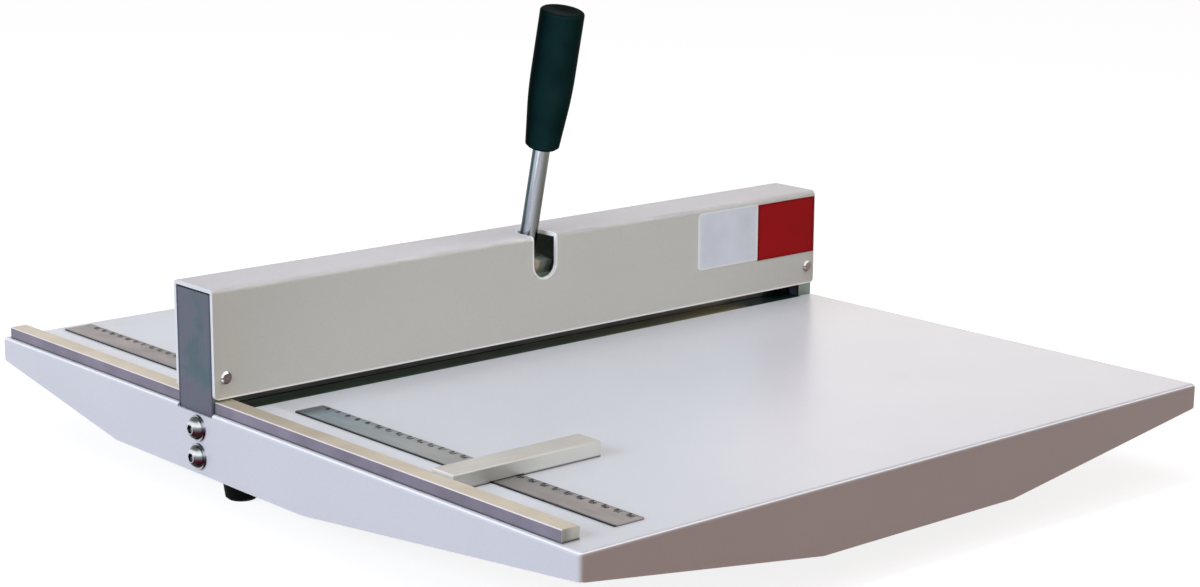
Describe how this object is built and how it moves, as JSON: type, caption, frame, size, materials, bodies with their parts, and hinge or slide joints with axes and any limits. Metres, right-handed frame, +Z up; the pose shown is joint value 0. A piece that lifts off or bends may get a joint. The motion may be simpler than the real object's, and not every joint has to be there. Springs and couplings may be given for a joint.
{
  "type": "desktop paper creasing machine",
  "caption": "Hand lever creaser: folded sheet-metal table on rubber feet, steel beam under a long screwed cover, cam-driven creasing blade, side rails, rulers and a sliding paper stop.",
  "frame": {"origin": "on the standing surface, under the middle of the whole machine's box", "axes": "+X to the right along the beam, +Y from the operator to the back, +Z up"},
  "size_m": [0.524, 0.59, 0.2875],
  "materials": {
    "table_paint": "light grey fine-textured powder coat, semi-matt",
    "cover_paint": "warm grey powder coat, satin",
    "frame_steel": "blue-grey bright-drawn steel, satin",
    "black_steel": "black-oxide steel, lightly oiled",
    "ground_steel": "ground tool steel",
    "bright_chrome": "polished chrome plate",
    "zinc_steel": "zinc-plated steel",
    "bush_bronze": "sintered bronze",
    "rail_aluminium": "natural anodised, satin",
    "ruler_steel": "satin stainless steel with dark divisions",
    "grip_plastic": "black phenolic, glossy",
    "foot_rubber": "black rubber"
  },
  "bodies": {
    "frame": {"base_tray": "table_paint", "table_rib_front_left": "table_paint", "table_rib_front_right": "table_paint", "table_rib_rear_left": "table_paint", "table_rib_rear_right": "table_paint", "beam_cover": "cover_paint", "post_left": "frame_steel", "post_right": "frame_steel", "bed_beam": "black_steel", "lower_die": "black_steel", "guide_pin_left": "ground_steel", "guide_pin_right": "ground_steel", "frame_bolts": "bright_chrome", "frame_washers": "bright_chrome", "cover_screws": "bright_chrome", "die_screws": "zinc_steel", "rail_screws": "zinc_steel", "foot_screws": "zinc_steel", "return_spring_left": "zinc_steel", "return_spring_right": "zinc_steel", "shaft_bush_left": "bush_bronze", "shaft_bush_right": "bush_bronze", "front_rail": "rail_aluminium", "rear_rail": "rail_aluminium", "front_ruler": "ruler_steel", "rear_ruler": "ruler_steel", "foot_beam_left": "foot_rubber", "foot_beam_right": "foot_rubber", "foot_front_left": "foot_rubber", "foot_front_right": "foot_rubber", "foot_rear_left": "foot_rubber", "foot_rear_right": "foot_rubber"},
    "lever": {"cam_shaft": "ground_steel", "press_cam_left": "ground_steel", "press_cam_right": "ground_steel", "lever_hub": "ground_steel", "grub_screws": "zinc_steel", "lever_rod": "bright_chrome", "lever_grip": "grip_plastic"},
    "press": {"press_bar": "black_steel", "creasing_blade": "ground_steel", "blade_clamp": "black_steel", "clamp_screws": "zinc_steel", "press_pad_left": "ground_steel", "press_pad_right": "ground_steel"},
    "stop": {"paper_stop": "rail_aluminium", "stop_magnets": "zinc_steel"}
  },
  "joints": [
    {"name": "lever_pull", "type": "hinge", "parent": "frame", "child": "lever", "pos_m": [0, 0.061, 0.1008], "axis": [1, 0, 0], "range_deg": [0, 42]},
    {"name": "press_slide", "type": "slide", "parent": "frame", "child": "press", "axis": [0, 0, -1], "range_m": [0, 0.00459], "stiffness_N_per_m": 6000, "springref_m": -0.0067, "deforming": ["return_spring_left", "return_spring_right"]},
    {"name": "stop_slide", "type": "slide", "parent": "frame", "child": "stop", "axis": [0, 1, 0], "range_m": [-0.1, 0.189]}
  ],
  "couplings": [
    {"joint": "press_slide", "follows": "lever_pull", "m_per_rad": 0.0062577}
  ]
}
